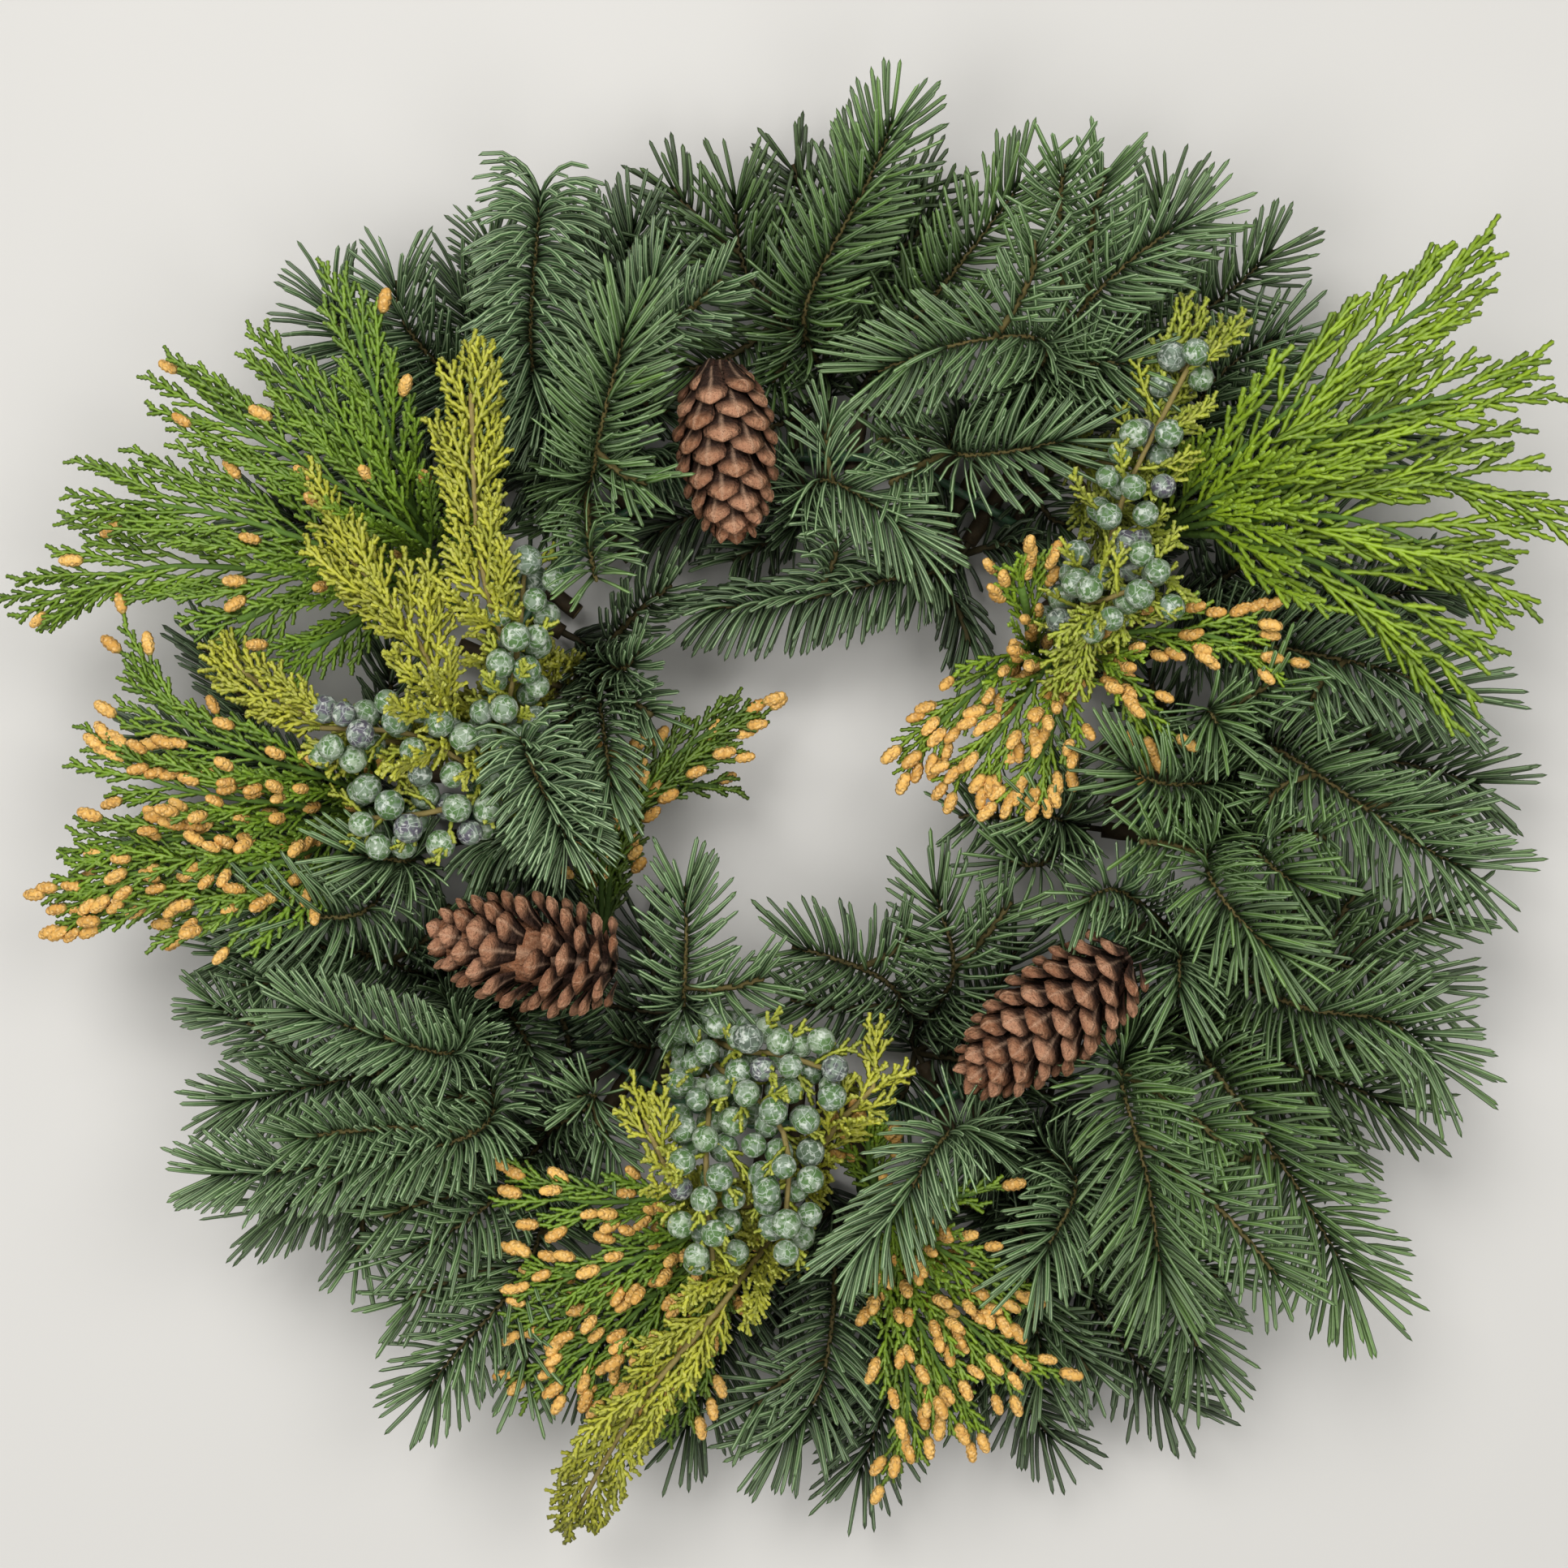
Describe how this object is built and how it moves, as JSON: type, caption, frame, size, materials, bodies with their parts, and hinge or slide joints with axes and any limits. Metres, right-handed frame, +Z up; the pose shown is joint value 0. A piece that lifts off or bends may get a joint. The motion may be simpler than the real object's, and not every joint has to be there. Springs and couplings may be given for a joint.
{
  "type": "candle ring",
  "caption": "Fresh evergreen candle ring of fir boughs, cedar sprays, berried juniper and pine cones clamped to a wire ring, open in the middle for a pillar candle.",
  "frame": {"origin": "middle of the whole outline seen from above, at the height of the surface that the ring lies on", "axes": "+Z up, out of the ring's open middle; +Y towards the side with the single upright pine cone; +X to the right looked down on"},
  "size_m": [0.4608, 0.436, 0.1057],
  "materials": {
    "fir": "living fir needles, blue-green with pale bloom lines, satin",
    "cedar": "living flat cedar scale leaves, bright green, with tan pollen cones, satin",
    "juniper": "living juniper scale leaves, yellow-green to gold, matte",
    "juniper_berry": "juniper berries, green-blue under a waxy white bloom, matte",
    "pine_cone": "dry pine cone scales, reddish to grey brown, matte",
    "green_wire": "dark green painted steel wire, satin"
  },
  "bodies": {
    "root": {"cedar_spray_inner_left": "cedar", "cedar_spray_inner_right": "cedar", "cedar_spray_lower_left": "cedar", "cedar_spray_lower_left_tip": "cedar", "cedar_spray_lower_right": "cedar", "cedar_spray_upper_left": "cedar", "cedar_spray_upper_right": "cedar", "fir_bough_01": "fir", "fir_bough_02": "fir", "fir_bough_03": "fir", "fir_bough_04": "fir", "fir_bough_05": "fir", "fir_bough_06": "fir", "fir_bough_07": "fir", "fir_bough_08": "fir", "fir_bough_09": "fir", "fir_bough_10": "fir", "fir_bough_11": "fir", "fir_bough_12": "fir", "fir_bough_13": "fir", "fir_bough_14": "fir", "fir_bough_15": "fir", "fir_bough_16": "fir", "fir_bough_17": "fir", "fir_bough_18": "fir", "fir_bough_19": "fir", "fir_bough_20": "fir", "fir_bough_21": "fir", "fir_bough_22": "fir", "fir_bough_23": "fir", "fir_bough_24": "fir", "fir_bough_25": "fir", "fir_bough_26": "fir", "fir_bough_27": "fir", "fir_bough_28": "fir", "fir_bough_29": "fir", "fir_bough_30": "fir", "fir_bough_31": "fir", "fir_bough_32": "fir", "fir_bough_33": "fir", "fir_bough_34": "fir", "fir_bough_35": "fir", "fir_bough_36": "fir", "fir_bough_37": "fir", "fir_bough_38": "fir", "fir_bough_39": "fir", "juniper_berries_left": "juniper_berry", "juniper_berries_lower": "juniper_berry", "juniper_berries_right": "juniper_berry", "juniper_spray_left": "juniper", "juniper_spray_lower": "juniper", "juniper_spray_right": "juniper", "pine_cone_left": "pine_cone", "pine_cone_left_pick": "green_wire", "pine_cone_right": "pine_cone", "pine_cone_right_pick": "green_wire", "pine_cone_top": "pine_cone", "pine_cone_top_pick": "green_wire", "wire_frame": "green_wire"}
  },
  "joints": []
}
